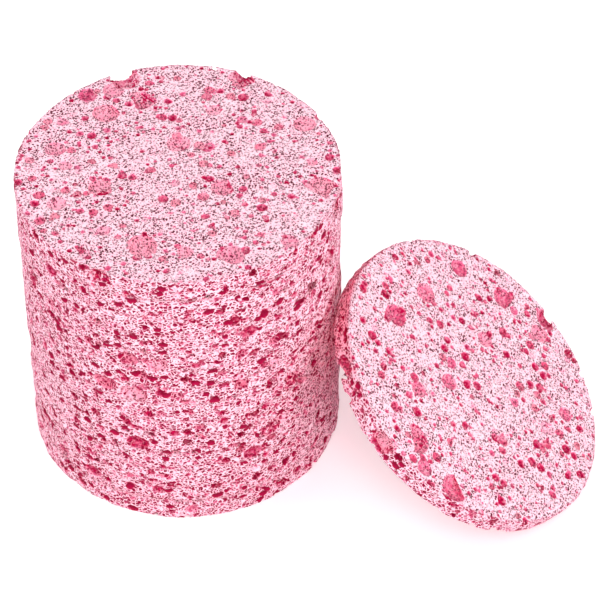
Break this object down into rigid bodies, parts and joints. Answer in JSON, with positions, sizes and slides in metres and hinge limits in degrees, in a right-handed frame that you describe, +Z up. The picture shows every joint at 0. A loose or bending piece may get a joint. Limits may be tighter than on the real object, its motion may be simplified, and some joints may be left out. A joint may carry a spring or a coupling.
{
  "type": "konjac sponge",
  "caption": "Round open-pored face sponges in a pile, with another that leans on the pile's side. Every sponge is a loose disc that lifts off.",
  "frame": {"origin": "centre of the underside of the pile's lowest sponge", "axes": "+Z up the pile, +X from the pile's axis towards the leaning sponge"},
  "size_m": [0.1202, 0.0651, 0.0672],
  "materials": {
    "sponge_foam": "matte open-pored foam, pale pink at the surface and deep pink in the pores"
  },
  "bodies": {
    "pile_sponge_01": {"pile_sponge_01": "sponge_foam"},
    "pile_sponge_02": {"pile_sponge_02": "sponge_foam"},
    "pile_sponge_03": {"pile_sponge_03": "sponge_foam"},
    "pile_sponge_04": {"pile_sponge_04": "sponge_foam"},
    "pile_sponge_05": {"pile_sponge_05": "sponge_foam"},
    "pile_sponge_06": {"pile_sponge_06": "sponge_foam"},
    "pile_sponge_07": {"pile_sponge_07": "sponge_foam"},
    "pile_sponge_08": {"pile_sponge_08": "sponge_foam"},
    "pile_sponge_09": {"pile_sponge_09": "sponge_foam"},
    "pile_sponge_10": {"pile_sponge_10": "sponge_foam"},
    "pile_sponge_11": {"pile_sponge_11": "sponge_foam"},
    "pile_sponge_12": {"pile_sponge_12": "sponge_foam"},
    "pile_sponge_13": {"pile_sponge_13": "sponge_foam"},
    "pile_sponge_14": {"pile_sponge_14": "sponge_foam"},
    "leaning_sponge": {"leaning_sponge": "sponge_foam"}
  },
  "joints": [
    {"name": "lift_02", "type": "slide", "parent": "pile_sponge_01", "child": "pile_sponge_02", "axis": [0, 0, 1], "range_m": [0, 0.025]},
    {"name": "lift_03", "type": "slide", "parent": "pile_sponge_02", "child": "pile_sponge_03", "axis": [0, 0, 1], "range_m": [0, 0.025]},
    {"name": "lift_04", "type": "slide", "parent": "pile_sponge_03", "child": "pile_sponge_04", "axis": [0, 0, 1], "range_m": [0, 0.025]},
    {"name": "lift_05", "type": "slide", "parent": "pile_sponge_04", "child": "pile_sponge_05", "axis": [0, 0, 1], "range_m": [0, 0.025]},
    {"name": "lift_06", "type": "slide", "parent": "pile_sponge_05", "child": "pile_sponge_06", "axis": [0, 0, 1], "range_m": [0, 0.025]},
    {"name": "lift_07", "type": "slide", "parent": "pile_sponge_06", "child": "pile_sponge_07", "axis": [0, 0, 1], "range_m": [0, 0.025]},
    {"name": "lift_08", "type": "slide", "parent": "pile_sponge_07", "child": "pile_sponge_08", "axis": [0, 0, 1], "range_m": [0, 0.025]},
    {"name": "lift_09", "type": "slide", "parent": "pile_sponge_08", "child": "pile_sponge_09", "axis": [0, 0, 1], "range_m": [0, 0.025]},
    {"name": "lift_10", "type": "slide", "parent": "pile_sponge_09", "child": "pile_sponge_10", "axis": [0, 0, 1], "range_m": [0, 0.025]},
    {"name": "lift_11", "type": "slide", "parent": "pile_sponge_10", "child": "pile_sponge_11", "axis": [0, 0, 1], "range_m": [0, 0.025]},
    {"name": "lift_12", "type": "slide", "parent": "pile_sponge_11", "child": "pile_sponge_12", "axis": [0, 0, 1], "range_m": [0, 0.025]},
    {"name": "lift_13", "type": "slide", "parent": "pile_sponge_12", "child": "pile_sponge_13", "axis": [0, 0, 1], "range_m": [0, 0.025]},
    {"name": "lift_14", "type": "slide", "parent": "pile_sponge_13", "child": "pile_sponge_14", "axis": [0, 0, 1], "range_m": [0, 0.025]},
    {"name": "lift_leaning", "type": "slide", "parent": "pile_sponge_01", "child": "leaning_sponge", "axis": [0.599, 0, 0.8007], "range_m": [0, 0.05]}
  ]
}
